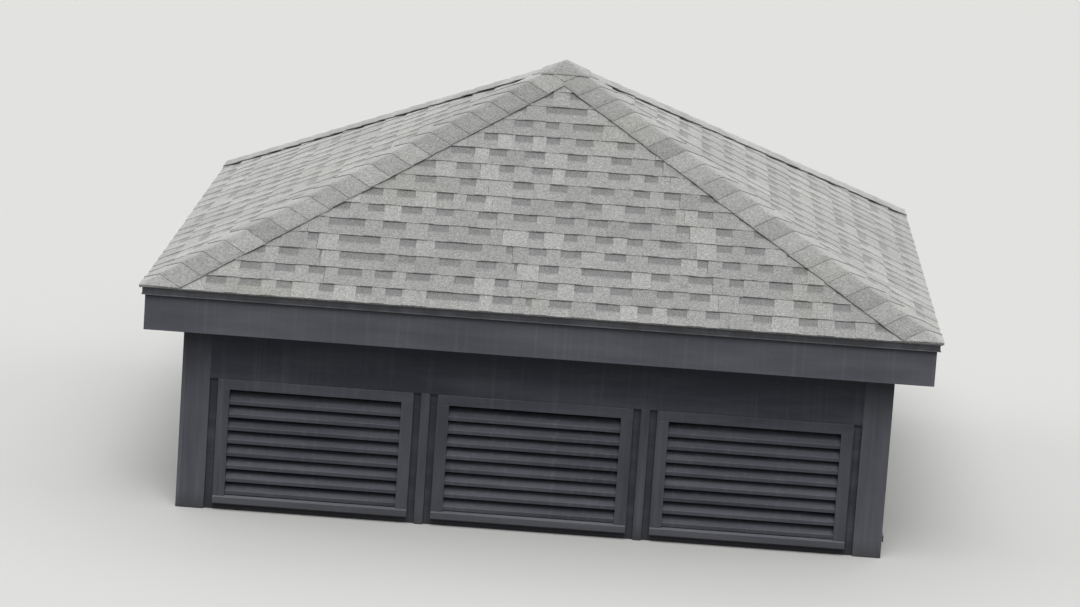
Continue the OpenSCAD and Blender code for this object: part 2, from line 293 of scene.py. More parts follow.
# Asphalt-soaked felt: black, dead matt and fibrous
def asphaltFelt(name):
    felt = {
        "fibre": 2 * mm,
        "tone": {**noiseSpan, "To Min": 0.8, "To Max": 1.2},
        "relief": {"Strength": 0.5, "Distance": 0.1 * mm},
    }
    material, tree, shader = startMaterial(name, {"Roughness": 0.95, "Specular IOR Level": 0.2})
    place = addNode(tree, "ShaderNodeTexCoord").outputs["Object"]
    fibres = addNode(tree, "ShaderNodeTexNoise", {
        "Vector": place, "Scale": 1 / felt["fibre"], "Detail": 3, "Distortion": 1}).outputs["Fac"]
    fade = addNode(tree, "ShaderNodeMapRange", {"Value": fibres, **felt["tone"]})
    faded = addNode(tree, "ShaderNodeVectorMath", {
        0: colours["felt"][:3], "Scale": fade.outputs[0]}, operation="SCALE")
    tree.links.new(faded.outputs[0], shader.inputs["Base Color"])
    nap = addNode(tree, "ShaderNodeBump", {"Height": fibres, **felt["relief"]})
    tree.links.new(nap.outputs[0], shader.inputs["Normal"])
    return material


# Planed spruce, or plywood peeled from it: straw-coloured early wood between brown rings of late wood,
# with a few knots
def planedSpruce(name, early, late, ringGap, waver):
    wood = {
        # Lengths of the patterns along, across and through a board
        "bends": (0.7, 0.25, 0.25),
        "knots": (0.45, 0.11, 0.11),
        "fibre": (40 * mm, 1.1 * mm, 1.1 * mm),
        "knotFade": {"From Min": 0.03, "From Max": 0.09, "To Min": 1, "To Max": 0},
        "lateThinness": 2.5,
        "fibreTone": {**noiseSpan, "To Min": 0.88, "To Max": 1.08},
        "roughness": {"To Min": 0.6, "To Max": 0.8},
        "relief": {"Strength": 0.4, "Distance": 0.3 * mm},
    }
    material, tree, shader = startMaterial(name, {"Specular IOR Level": 0.35, "Diffuse Roughness": 0.5})
    board = addNode(tree, "ShaderNodeAttribute", attribute_name="grain").outputs["Vector"]
    sized = {}
    for key in ("bends", "knots", "fibre"):
        sized[key] = addNode(tree, "ShaderNodeMapping", {
            "Vector": board, "Scale": [1 / length for length in wood[key]]}).outputs[0]
    bend = addNode(tree, "ShaderNodeTexNoise", {"Vector": sized["bends"], "Scale": 1, "Detail": 2})
    knots = addNode(tree, "ShaderNodeTexVoronoi", {"Vector": sized["knots"], "Scale": 1})
    fibre = addNode(tree, "ShaderNodeTexNoise", {
        "Vector": sized["fibre"], "Scale": 1, "Detail": 2}).outputs["Fac"]

    # The wave texture draws a ring every 2 pi / 20 at a scale of 1
    bent = addNode(tree, "ShaderNodeVectorMath", {
        0: bend.outputs["Color"], 1: (0, waver, waver), 2: board}, operation="MULTIPLY_ADD")
    rings = addNode(tree, "ShaderNodeTexWave", {
        "Vector": bent.outputs[0], "Scale": 2 * math.pi / 20 / ringGap, "Distortion": 0.8, "Detail": 2},
        wave_type="RINGS", rings_direction="X")
    lateRings = addNode(tree, "ShaderNodeMath", {
        0: rings.outputs["Fac"], 1: wood["lateThinness"]}, operation="POWER")
    knot = addNode(tree, "ShaderNodeMapRange", {
        "Value": knots.outputs["Distance"], **wood["knotFade"]}, interpolation_type="SMOOTHSTEP")
    brown = addNode(tree, "ShaderNodeMath", {
        0: lateRings.outputs[0], 1: knot.outputs[0]}, operation="MAXIMUM")
    ringed = addNode(tree, "ShaderNodeMix", {
        0: brown.outputs[0], 6: colours[early], 7: colours[late]}, data_type="RGBA")
    streak = addNode(tree, "ShaderNodeMapRange", {"Value": fibre, **wood["fibreTone"]})
    streaked = addNode(tree, "ShaderNodeVectorMath", {
        0: ringed.outputs[2], "Scale": streak.outputs[0]}, operation="SCALE")
    tree.links.new(streaked.outputs[0], shader.inputs["Base Color"])
    dull = addNode(tree, "ShaderNodeMapRange", {"Value": fibre, **wood["roughness"]})
    tree.links.new(dull.outputs[0], shader.inputs["Roughness"])
    raised = addNode(tree, "ShaderNodeBump", {"Height": fibre, **wood["relief"]})
    tree.links.new(raised.outputs[0], shader.inputs["Normal"])
    return material


# Hot-dip galvanised steel gone dull outdoors: grey, faintly spangled, half rough
def dullZinc(name):
    zinc = {
        "spangle": 1.5 * mm,
        "tone": {"To Min": 0.75, "To Max": 1.1},
        "roughness": {"To Min": 0.45, "To Max": 0.65},
    }
    material, tree, shader = startMaterial(name, {"Metallic": 0.8})
    place = addNode(tree, "ShaderNodeTexCoord").outputs["Object"]
    spangle = addNode(tree, "ShaderNodeTexVoronoi", {"Vector": place, "Scale": 1 / zinc["spangle"]})
    crystal = addNode(tree, "ShaderNodeSeparateXYZ", {"Vector": spangle.outputs["Color"]})
    fade = addNode(tree, "ShaderNodeMapRange", {"Value": crystal.outputs["X"], **zinc["tone"]})
    faded = addNode(tree, "ShaderNodeVectorMath", {
        0: colours["zinc"][:3], "Scale": fade.outputs[0]}, operation="SCALE")
    tree.links.new(faded.outputs[0], shader.inputs["Base Color"])
    dull = addNode(tree, "ShaderNodeMapRange", {"Value": crystal.outputs["Y"], **zinc["roughness"]})
    tree.links.new(dull.outputs[0], shader.inputs["Roughness"])
    return material


# Roll-formed steel with baked enamel: smooth, a low gloss, a faint orange peel and thin dust
def bakedEnamel(name):
    enamel = {
        "dust": 0.11,
        "dusting": {"From Min": 0.45, "From Max": 0.75, "To Max": 0.35},
        "roughness": {**noiseSpan, "To Min": 0.3, "To Max": 0.5},
        "peel": 4 * mm,
        "peelRelief": {"Strength": 0.15, "Distance": 0.2 * mm},
    }
    material, tree, shader = startMaterial(name, {"Specular IOR Level": 0.45})
    place = addNode(tree, "ShaderNodeTexCoord").outputs["Object"]
    dust = addNode(tree, "ShaderNodeTexNoise", {
        "Vector": place, "Scale": 1 / enamel["dust"], "Detail": 6, "Roughness": 0.65}).outputs["Fac"]
    amount = addNode(tree, "ShaderNodeMapRange", {"Value": dust, **enamel["dusting"]})
    dusty = addNode(tree, "ShaderNodeMix", {
        0: amount.outputs[0], 6: colours["enamel"], 7: colours["chalk"]}, data_type="RGBA")
    tree.links.new(dusty.outputs[2], shader.inputs["Base Color"])
    dull = addNode(tree, "ShaderNodeMapRange", {"Value": dust, **enamel["roughness"]})
    tree.links.new(dull.outputs[0], shader.inputs["Roughness"])
    peel = addNode(tree, "ShaderNodeTexNoise", {"Vector": place, "Scale": 1 / enamel["peel"], "Detail": 1})
    skin = addNode(tree, "ShaderNodeBump", {"Height": peel.outputs["Fac"], **enamel["peelRelief"]})
    tree.links.new(skin.outputs[0], shader.inputs["Normal"])
    return material


# Boards

boards = {
    "along": 60,                  # how far along the pattern of grain a board may start, in metres
    "offHeart": (0.12, 0.08),     # how far off the heart of the tree it may be cut, across and through
    "chalkingSpread": 0.15,
    "weld": 0.01 * mm,
    "flat": 1,                    # degrees: faces nearer than this to one plane are one face
}


# Bevels the edges of a closed piece that turn by more than an angle, and marks the faces that this makes
def easeArrises(bm, width, angle=20, segments=2):
    edges = [edge for edge in bm.edges if edge.calc_face_angle(0) > math.radians(angle)]
    worn = bm.faces.layers.float.new("arris")
    rounded = bmesh.ops.bevel(
        bm, geom=edges, offset=width, offset_type="OFFSET", segments=segments, profile=0.5,
        affect="EDGES", clamp_overlap=True, material=-1)
    for face in rounded["faces"]:
        face[worn] = 1


# The separate solids of a mesh, each as its list of vertices
def islands(bm):
    seen = set()
    for start in bm.verts:
        if start in seen:
            continue
        seen.add(start)
        island = [start]
        for vert in island:
            for edge in vert.link_edges:
                other = edge.other_vert(vert)
                if other not in seen:
                    seen.add(other)
                    island.append(other)
        yield island


# Writes on every vertex where it lies along, across and through its own board, and how chalked it is;
# on the friezes and sills that chalking also holds painted shade and a painted highlight
def markGrain(bm, rng, chalking=0):
    grain = bm.verts.layers.float_vector.new("grain")
    exposed = bm.verts.layers.float.new("chalking")
    across, through = boards["offHeart"]
    spread = boards["chalkingSpread"]
    for island in islands(bm):
        points = np.array([vert.co for vert in island])
        centre = points.mean(axis=0)
        axes = np.linalg.svd(points - centre, full_matrices=False)[2]
        axes *= np.sign(axes[np.arange(3), np.abs(axes).argmax(axis=1)])[:, None]
        shift = (
            rng.uniform(0, boards["along"]), rng.uniform(-across, across), rng.uniform(-through, through))
        ownChalking = chalking * rng.uniform(1 - spread, 1 + spread)
        for vert, place in zip(island, (points - centre) @ axes.T + shift):
            vert[grain] = place
            vert[exposed] = ownChalking


# A planed board between two corners
def addBoard(target, low, high, arris, rng, chalking=0, matrix=None):
    low, high = Vector(low), Vector(high)
    bm = bmesh.new()
    block = Matrix.Translation((low + high) / 2) @ Matrix.Diagonal((*(high - low), 1))
    bmesh.ops.create_cube(bm, size=1, matrix=block)
    easeArrises(bm, arris)
    markGrain(bm, rng, chalking)
    pour(target, bm, matrix)


# Draws faces out to a solid
def drawOut(bm, faces, way):
    drawn = bmesh.ops.extrude_face_region(bm, geom=faces, use_keep_orig=True)
    moved = [item for item in drawn["geom"] if isinstance(item, bmesh.types.BMVert)]
    bmesh.ops.translate(bm, vec=way, verts=moved)


# A moulding: a section drawn as depth and height, run across by its length
def addMoulding(target, section, length, arris, rng, chalking=0, matrix=None):
    bm = bmesh.new()
    ring = [bm.verts.new((-length / 2, depth, height)) for depth, height in section]
    drawOut(bm, [bm.faces.new(ring)], (length, 0, 0))
    bmesh.ops.recalc_face_normals(bm, faces=bm.faces)
    easeArrises(bm, arris)
    markGrain(bm, rng, chalking)
    pour(target, bm, matrix)


# A piece that keeps the form of its CAD node, with eased arrises and a run of grain to every board
def dressBoards(piece, node, material, arris, rng, chalking=0):
    bm = bmesh.new()
    bm.from_mesh(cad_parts[node].data)
    bmesh.ops.remove_doubles(bm, verts=bm.verts, dist=boards["weld"])
    bmesh.ops.dissolve_limit(bm, angle_limit=math.radians(boards["flat"]), verts=bm.verts, edges=bm.edges)
    if arris:
        bmesh.ops.recalc_face_normals(bm, faces=bm.faces)
        easeArrises(bm, arris)
    markGrain(bm, rng, chalking)
    finishPiece(piece, bm, material, [node])


# A flat sheet with a thickness, from -1 to 1 across and up, its underside at 0 and its top at 1
def flatSheet(columns, rows):
    bm = bmesh.new()
    bmesh.ops.create_grid(bm, x_segments=columns, y_segments=rows, size=1)
    drawOut(bm, bm.faces[:], (0, 0, 1))
    return bm


# A nail head, its face up its own z
def addNail(bm, nail, place):
    bmesh.ops.create_cone(
        bm, cap_ends=True, segments=nail["sides"], radius1=nail["head"], radius2=nail["face"],
        depth=nail["thickness"], matrix=place)


# Cuts away what lies beyond a plane and closes the cut
def trimAt(bm, point, outward):
    everything = bm.verts[:] + bm.edges[:] + bm.faces[:]
    bmesh.ops.bisect_plane(bm, geom=everything, plane_co=point, plane_no=outward, clear_outer=True)
    openEdges = [edge for edge in bm.edges if edge.is_boundary]
    bmesh.ops.holes_fill(bm, edges=openEdges, sides=0)


# Shingles

roof = {
    "rise": 6,
    "run": 12,
    "courses": 16,
    "layer": 3 * mm,              # one layer of a laminated shingle
    "topAtButt": 13 * mm,         # top of a tab over the felt at its lower edge
    "shingleLength": 1.0,
    "stagger": 0.17,              # from one course to the next
    "staggerSpread": 0.04,
    "joint": 1.5 * mm,
    "tabs": (0.065, 0.135),       # widths
    "gaps": (0.070, 0.125),
    "wideGaps": (0.150, 0.270),
    "wideGapShare": 0.12,
    "slant": 3 * mm,              # how far the sides of a tab lean
    "slantFrom": 0.4,             # share of the tab's height that they lean about
    "underlap": 18 * mm,
    "eaveStart": 8 * mm,          # keeps the tilted lower edge plumb over the eave
    "starterBack": 1 * mm,        # the starter strips stand back from it
    "starterShifts": (0.4, 0.2),  # their joints miss those of the course above
    "bendEvery": 0.06,
    "bends": (2.3, 3.7, 5.1),     # waves to the metre, and steps from row to row and from layer to layer
    "lift": 0.5 * mm,             # how far those waves lift a lower edge
    "tabLift": 0.4 * mm,          # and how far a tab stands off besides
    "tabTint": (0.62, 0.3),       # from dark at 0 to light at 1, and how far single tabs stray
    "backingTint": 0.55,
    "starterTint": 0.5,
    "batchSpread": 0.1,           # from one shingle to the next
    "arris": 0.6 * mm,
    "arrisAngle": 50,
    "hipGap": 1.5 * mm,
    "felt": 0.2 * mm,
    "feltStart": 110 * mm,        # up the slope, clear of the flange of the drip edge
    "seed": 5,
}
pitch = math.atan2(roof["rise"], roof["run"])
exposure = halfEave / math.cos(pitch) / roof["courses"]
slopeFrame = Matrix.Translation((0, -halfEave, eaveZ)) @ Matrix.Rotation(pitch, 4, "X")


# The attributes that the granules read
def markShingle(bm):
    return bm.verts.layers.float_vector.new("lay"), bm.verts.layers.float.new("tint")


# Lays one layer of a shingle: 0 layers down is a tab, 1 the backing under it, 2 and 3 the starter strips
def addLayer(target, course, left, right, down, tint, rng):
    start = roof["eaveStart"] + (down // 2) * roof["starterBack"] if course == 0 else 0
    reach = exposure + roof["underlap"]
    leanLeft = rng.uniform(-1, 1) * roof["slant"] if down == 0 else 0
    leanRight = rng.uniform(-1, 1) * roof["slant"] if down == 0 else 0
    lifted = rng.uniform(0, roof["tabLift"]) if down == 0 else 0
    waves, rowStep, layerStep = roof["bends"]
    bm = flatSheet(max(1, round((right - left) / roof["bendEvery"])), 1)
    for vert in bm.verts:
        across = (vert.co.x + 1) / 2
        upper = (vert.co.y + 1) / 2
        up = start + upper * (reach - start)
        lean = leanLeft * (1 - across) + leanRight * across
        x = left + (right - left) * across + lean * (upper - roof["slantFrom"])
        wave = roof["lift"] * noise.noise(Vector((x * waves, course * rowStep, down * layerStep)))
        top = roof["topAtButt"] - 2 * roof["layer"] * up / exposure - down * roof["layer"]
        rise = top + (wave + lifted) * (1 - upper)
        vert.co = (x, course * exposure + up, rise - (1 - vert.co.z) * roof["layer"])
    easeArrises(bm, roof["arris"], roof["arrisAngle"], segments=1)
    lay, shade = markShingle(bm)
    for vert in bm.verts:
        vert[lay] = (vert.co.x, vert.co.y - course * exposure, down)
        vert[shade] = tint
    pour(target, bm)


# One row of shingles, each a backing strip with its own tabs, wide enough to be cut at the hips
def layCourse(target, course, rng):
    half = halfEave - course * exposure * math.cos(pitch)
    joint = roof["joint"] / 2
    tabTint, tabSpread = roof["tabTint"]
    stagger = course * roof["stagger"] + rng.uniform(0, roof["staggerSpread"])
    x = -half - stagger % roof["shingleLength"]
    while x < half:
        end = x + roof["shingleLength"]
        batch = rng.uniform(-roof["batchSpread"], roof["batchSpread"])
        if end > -half:
            addLayer(target, course, x + joint, end - joint, 1, roof["backingTint"] + batch, rng)
            if course == 0:
                for down, shift in zip((2, 3), roof["starterShifts"]):
                    left, right = x + shift, end + shift - 2 * joint
                    addLayer(target, course, left, right, down, roof["starterTint"], rng)
        edge = x + joint
        while edge < end - roof["tabs"][0] / 2:
            tabEnd = min(edge + rng.uniform(*roof["tabs"]), end - joint)
            tint = tabTint + batch + rng.uniform(-tabSpread, tabSpread)
            if tabEnd > -half and edge < half:
                addLayer(target, course, edge, tabEnd, 0, tint, rng)
            wide = rng.random() < roof["wideGapShare"]
            edge = tabEnd + rng.uniform(*roof["wideGaps" if wide else "gaps"])
        x = end


# Tips what is laid flat to the slope and cuts it at both hips
def setOnSlope(bm):
    bmesh.ops.transform(bm, matrix=slopeFrame, verts=bm.verts)
    for across in (-1, 1):
        trimAt(bm, (0, -roof["hipGap"], 0), (across, 1, 0))


# Thin roofing felt on the deck, which shows only in the joints between shingles
def rollFelt(material):
    felt = bmesh.new()
    start, length = roof["feltStart"], halfEave / math.cos(pitch)
    for k in range(4):
        bm = flatSheet(1, 1)
        for vert in bm.verts:
            up = start + (length - start) * (vert.co.y + 1) / 2
            vert.co = (vert.co.x * halfEave, up, vert.co.z * roof["felt"])
        setOnSlope(bm)
        pour(felt, bm, quarterTurn(k))
    finishPiece("roofing_felt", felt, material, [])


def layRoof(material):
    for k, side in enumerate(sideNames):
        rng = random.Random(roof["seed"] + k)
        bm = bmesh.new()
        for course in range(roof["courses"]):
            layCourse(bm, course, rng)
        setOnSlope(bm)
        bmesh.ops.transform(bm, matrix=quarterTurn(k), verts=bm.verts)
        finishPiece(f"{side}_slope_shingles", bm, material, [f"{side}_slope"])
    print("felt and roof shingles laid")


caps = {
    "perHip": 21,
    "wing": 0.152,
    "wingSpread": 2 * mm,
    "thickness": 4 * mm,
    "underAtButt": 17.2 * mm,     # underside over the slope at the lower edge of a cap
    "underAtTop": 13.2 * mm,      # and where the next cap covers it
    "underlap": 22 * mm,
    "foldRadius": 8 * mm,
    "columns": 12,
    "rows": 3,
    "crowding": 1.8,              # power that draws the columns together at the fold
    "twist": 0.5,                 # degrees
    "curl": (-0.3 * mm, 0.6 * mm),
    "tints": (0.25, 0.95),
    "eaveTrim": 1.5 * mm,
    "peakTrim": 0.5 * mm,
    "peakHalf": 0.131,            # half of the last cap, which is folded over all four slopes
    "peakUnder": 21.5 * mm,
    "peakColumns": 16,
    "peakRounding": 9,            # power of the rounded pyramid: more is sharper
    "peakLift": 0.6 * mm,
    "peakWaves": 30,              # to the metre
    "peakTint": 0.7,
    "arris": 0.8 * mm,
    "arrisAngle": 60,
    "smooth": 35,
    "seed": 41,
}
# The galvanised nails that hold the last cap, with the radii of a head at its seat and at its face
capNails = {
    "head": 4.8 * mm,
    "face": 3.84 * mm,
    "sides": 12,
    "thickness": 1.6 * mm,
    "proud": 0.3 * mm,
    "up": 27 * mm,                # from the lower edge of that cap
    "apart": 0.11,
}


# Folds caps over the right hip of the front slope
def foldCaps(rng):
    corner = Vector((halfEave, -halfEave, eaveZ))
    hip = Vector((-halfEave, halfEave, halfEave * math.tan(pitch)))
    upHip = hip.normalized()
    level = Vector((-1, 0, 0))
    onFront = (level - level.project(upHip)).normalized()
    onRight = Vector((-onFront.y, -onFront.x, onFront.z))
    frontNormal = Vector((0, -math.sin(pitch), math.cos(pitch)))
    rightNormal = Vector((math.sin(pitch), 0, math.cos(pitch)))
    spread, drop = (onRight - onFront) / 2, (onRight + onFront) / 2
    step = hip.length / caps["perHip"]
    taper = (caps["underAtTop"] - caps["underAtButt"]) / step
    target = bmesh.new()
    for index in range(caps["perHip"]):
        bm = flatSheet(caps["columns"], caps["rows"])
        wing = caps["wing"] + rng.uniform(-1, 1) * caps["wingSpread"]
        twist = math.radians(rng.uniform(-1, 1) * caps["twist"])
        curl = rng.uniform(*caps["curl"])
        tint = rng.uniform(*caps["tints"])
        lay, shade = markShingle(bm)
        for vert in bm.verts:
            upper = (vert.co.y + 1) / 2
            up = upper * (step + caps["underlap"])
            across = math.copysign(wing * abs(vert.co.x) ** caps["crowding"], vert.co.x)
            along = index * step + up + across * math.sin(twist)
            lifted = curl * abs(vert.co.x) * (1 - upper)
            rise = caps["underAtButt"] + taper * up + vert.co.z * caps["thickness"] + lifted
            fold = math.hypot(across, caps["foldRadius"])
            normal = frontNormal + rightNormal + (rightNormal - frontNormal) * (across / fold)
            vert[lay] = (across, up, 0)
            vert[shade] = tint
            vert.co = corner + upHip * along + spread * across + drop * fold + normal.normalized() * rise
        easeArrises(bm, caps["arris"], caps["arrisAngle"], segments=1)
        pour(target, bm)
    inside = halfEave - caps["eaveTrim"]
    trimAt(target, (0, -inside, 0), (0, -1, 0))
    trimAt(target, (inside, 0, 0), (1, 0, 0))
    trimAt(target, (caps["peakTrim"], 0, 0), (-1, 0, 0))
    trimAt(target, (0, -caps["peakTrim"], 0), (0, 1, 0))
    return target


# Height of a layer of the roof over the base, at a level distance out from the peak
def roofHeight(out, layer):
    return eaveZ + (halfEave - out) * math.tan(pitch) + layer / math.cos(pitch)


# The last cap, cut square and folded down over the peak
def foldPeakCap():
    bm = flatSheet(caps["peakColumns"], caps["peakColumns"])
    lay, shade = markShingle(bm)
    power = caps["peakRounding"]
    for vert in bm.verts:
        x, y = vert.co.x * caps["peakHalf"], vert.co.y * caps["peakHalf"]
        out = (abs(x) ** power + abs(y) ** power) ** (1 / power)
        height = roofHeight(out, caps["peakUnder"] + vert.co.z * caps["thickness"])
        lifted = caps["peakLift"] * noise.noise(Vector((x, y, 0)) * caps["peakWaves"])
        vert[lay] = (x, 0, 0)
        vert[shade] = caps["peakTint"]
        vert.co = (x, y, height + lifted)
    easeArrises(bm, caps["arris"], caps["arrisAngle"], segments=1)
    return bm


# Two nails in each side of the last cap, their heads bedded flat in it
def nailPeakCap(material):
    bm = bmesh.new()
    out = caps["peakHalf"] - capNails["up"] * math.cos(pitch)
    height = roofHeight(out, caps["peakUnder"] + caps["thickness"]) + capNails["proud"]
    for k in range(4):
        for side in (-1, 1):
            seat = Matrix.Translation((side * capNails["apart"] / 2, -out, height))
            addNail(bm, capNails, quarterTurn(k) @ seat @ Matrix.Rotation(pitch, 4, "X"))
    finishPiece("peak_cap_nails", bm, material, [])


def capHips(material, nailMaterial):
    rng = random.Random(caps["seed"])
    everyHip = bmesh.new()
    for k in range(4):
        pour(everyHip, foldCaps(rng), quarterTurn(k))
    smooth = caps["smooth"]
    finishPiece("hip_cap_shingles", everyHip, material, ["hip_caps"], smooth)
    finishPiece("peak_cap_shingle", foldPeakCap(), material, ["hip_caps"], smooth)
    nailPeakCap(nailMaterial)
    print("hips and peak capped")


# Louvre vents

ventLow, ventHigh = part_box("front_middle_vent")
vents = {
    "spacing": (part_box("front_right_vent")[0] - ventLow).x,
    "nose": 14 * mm,
    "noseLift": 6 * mm,           # lower edge of the nose over the bottom of the vent
    "groove": 4 * mm,
    "stile": 60 * mm,
    "head": 52 * mm,
    "casing": 25 * mm,
    "lining": 19 * mm,
    "sillFront": 40 * mm,
    "sillSlope": math.radians(9),
    "sillTail": 5 * mm,           # bottom of the tail, on the sill plate
    "tailDrop": 0.5 * mm,         # top of the tail under the slope of the sill
    "blades": 8,
    "bladeThickness": 15 * mm,
    "bladeAngle": math.radians(45),
    "bladeRun": 58 * mm,
    "bladeFront": 12 * mm,
    "bladeGaps": (4 * mm, 2 * mm),    # over the sill and under the head
    "housing": 8 * mm,
    "hang": 0.6 * mm,             # how far off true a blade may be, in height and then in degrees
    "tilt": 0.5,
    "roll": 0.04,
    "arris": 1.6 * mm,
    "bladeArris": 2.4 * mm,
    "frameChalking": 0.26,
    # the sill is chalked where rain hits it, and paler besides as a painted highlight on its proud nose
    "sillChalkingAndHighlight": 0.50,
    "liningChalking": 0.20,
    "bladeChalking": 0.20,
    "seed": 77,
}
ventFace = ventLow.y + vents["nose"]


# Height of the top of a sill at a depth behind the face of the casing
def sillTop(depth):
    return vents["sillFront"] + (vents["nose"] + depth) * math.tan(vents["sillSlope"])


# One vent, its casing face at depth 0 and its bottom at height 0
def makeVent(rng):
    width, height = ventHigh.x - ventLow.x, ventHigh.z - ventLow.z
    depth = ventHigh.y - ventFace
    half, opening = width / 2, width / 2 - vents["stile"]
    top = height - vents["head"]
    rebate = vents["casing"] / 2
    inside = (vents["arris"] / 2, rng, vents["liningChalking"])
    outside = (vents["arris"], rng, vents["frameChalking"])
    bm = bmesh.new()
    addBoard(bm, (-half, 0, top), (half, vents["casing"], height), *outside)
    for sign in (-1, 1):
        inner, outer = sorted((sign * opening, sign * half))
        addBoard(bm, (inner, 0, vents["sillFront"]), (outer, vents["casing"], top), *outside)
        inner, outer = sorted((sign * opening, sign * (opening + vents["lining"])))
        addBoard(bm, (inner, rebate, vents["sillFront"]), (outer, depth, top + vents["lining"]), *inside)
    across = opening + vents["lining"] / 2
    addBoard(bm, (-across, rebate, top), (across, depth, top + vents["lining"]), *inside)

    # The sill: its high chalking is partly real weathering and partly a painted highlight on its nose
    nose, groove, lip = -vents["nose"], vents["groove"], vents["noseLift"]
    front = [
        (nose, lip), (nose + groove, lip),
        (nose + groove, lip + groove), (nose + 2 * groove, lip + groove),
        (nose + 2 * groove, 0), (vents["casing"], 0),
        (vents["casing"], sillTop(vents["casing"])), (nose, sillTop(nose)),
    ]
    addMoulding(bm, front, width, vents["arris"], rng, vents["sillChalkingAndHighlight"])
    tail = [
        (rebate, vents["sillTail"]), (depth, vents["sillTail"]),
        (depth, sillTop(depth) - vents["tailDrop"]), (rebate, sillTop(rebate) - vents["tailDrop"]),
    ]
    addMoulding(bm, tail, 2 * (opening + vents["lining"]), *inside)

    # Blades with plumb edges, their ends housed in the lining, each a hair off true
    rise = vents["bladeRun"] * math.tan(vents["bladeAngle"])
    edge = vents["bladeThickness"] / math.cos(vents["bladeAngle"])
    section = [(0, 0), (vents["bladeRun"], rise), (vents["bladeRun"], rise + edge), (0, edge)]
    lowest = sillTop(vents["bladeFront"]) + vents["bladeGaps"][0]
    step = (top - vents["bladeGaps"][1] - rise - edge - lowest) / (vents["blades"] - 1)
    for index in range(vents["blades"]):
        hang = rng.uniform(-vents["hang"], vents["hang"])
        tilt = Matrix.Rotation(math.radians(rng.uniform(-vents["tilt"], vents["tilt"])), 4, "X")
        roll = Matrix.Rotation(math.radians(rng.uniform(-vents["roll"], vents["roll"])), 4, "Y")
        place = Matrix.Translation((0, vents["bladeFront"], lowest + index * step + hang)) @ roll @ tilt
        addMoulding(
            bm, section, 2 * (opening + vents["housing"]), vents["bladeArris"], rng,
            vents["bladeChalking"], place)
    return bm


def hangVents(material):
    rng = random.Random(vents["seed"])
    for k, side in enumerate(sideNames):
        for i, place in enumerate(placeNames):
            seat = Matrix.Translation(((i - 1) * vents["spacing"], ventFace, ventLow.z))
            bm = makeVent(rng)
            bmesh.ops.transform(bm, matrix=quarterTurn(k) @ seat, verts=bm.verts)
            node = f"{side}_{place}_vent"
            finishPiece(f"{node}_louvres", bm, material, [node])
    print("louvre vents hung")


# Trim and walls

trim = {
    "arris": 2 * mm,
    "soffitArris": 1 * mm,
    "boardThickness": 19 * mm,
    "chalking": 0.47,
    "friezeChalkingAndShade": 0.05,       # sheltered by the eaves, so less chalked, and kept darker besides as painted shade from the eaves
    "battenChalking": 0.18,
    "panelChalking": 0.04,
    "soffitChalking": 0.05,
    "seed": 301,
}
nails = {
    "head": 3.6 * mm,             # radii, as for the caps
    "face": 2.52 * mm,
    "sides": 8,
    "thickness": 1 * mm,          # half of it sunk in the board
    "inset": 22 * mm,             # from the edge of a board
    "friezeDrop": 88 * mm,        # upper row on a frieze, from its top behind the soffit
    "cornerEnds": (44 * mm, 110 * mm),
    "fasciaEnds": 44 * mm,
    "fasciaUp": 110 * mm,         # upper row on a fascia, from its lower edge
    "casingEnds": 88 * mm,
    "step": 0.4,
    "jitter": 3 * mm,
    "chalking": 0.20,
}


# Two boards butted round each corner, the front one lapping the other
def addCornerBoards(material, rng):
    low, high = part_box("front_right_corner_boards")
    thickness = trim["boardThickness"]
    finish = (trim["arris"], rng, trim["chalking"])
    for k, corner in enumerate(cornerNames):
        bm = bmesh.new()
        addBoard(bm, low, (high.x, low.y + thickness, high.z), *finish, quarterTurn(k))
        addBoard(bm, (high.x - thickness, low.y + thickness, low.z), high, *finish, quarterTurn(k))
        finishPiece(f"{corner}_corner_trim", bm, material, [f"{corner}_corner_boards"])


# Even places from one end to the other, no further apart than a step
def evenPlaces(start, end, step):
    count = max(1, math.ceil((end - start) / step))
    return [start + (end - start) * i / count for i in range(count + 1)]


# Where the front of the cupola is nailed: frieze, corner boards and battens, fascia, and casings
def nailPlaces():
    inset, step = nails["inset"], nails["step"]
    cornerLow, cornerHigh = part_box("front_right_corner_boards")
    friezeLow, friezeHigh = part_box("front_frieze")
    fasciaLow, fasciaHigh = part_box("front_fascia")
    face = friezeLow.y
    places = []
    for x in evenPlaces(friezeLow.x + inset, friezeHigh.x - inset, step):
        places += [(x, face, friezeLow.z + inset), (x, face, friezeHigh.z - nails["friezeDrop"])]
    foot, top = nails["cornerEnds"]
    for z in evenPlaces(cornerLow.z + foot, cornerHigh.z - top, step):
        for x in (cornerLow.x + inset, cornerHigh.x - inset):
            places += [(x, face, z), (-x, face, z)]
        places += [(sign * vents["spacing"] / 2, face, z) for sign in (-1, 1) if z < friezeLow.z]
    for x in evenPlaces(fasciaLow.x + nails["fasciaEnds"], fasciaHigh.x - nails["fasciaEnds"], 2 * step):
        for up in (inset, nails["fasciaUp"]):
            places.append((x, fasciaLow.y, fasciaLow.z + up))
    out = ventHigh.x - vents["stile"] / 2
    for i in (-1, 0, 1):
        centre = i * vents["spacing"]
        for z in evenPlaces(ventLow.z + nails["casingEnds"], ventHigh.z - nails["casingEnds"], step):
            places += [(centre - out, ventFace, z), (centre + out, ventFace, z)]
        for x in evenPlaces(-out, out, step):
            places.append((centre + x, ventFace, ventHigh.z - vents["head"] / 2))
    return places


# Painted-over nail heads on the faces of the trim, the same on all sides
def driveNails(material, rng):
    bm = bmesh.new()
    places, jitter = nailPlaces(), nails["jitter"]
    for k in range(4):
        for x, y, z in places:
            place = Vector((x + rng.uniform(-jitter, jitter), y, z + rng.uniform(-jitter, jitter)))
            head = Matrix.Translation(place) @ Matrix.Rotation(math.pi / 2, 4, "X")
            addNail(bm, nails, quarterTurn(k) @ head)
    markGrain(bm, rng, nails["chalking"])
    finishPiece("trim_nail_heads", bm, material, [])


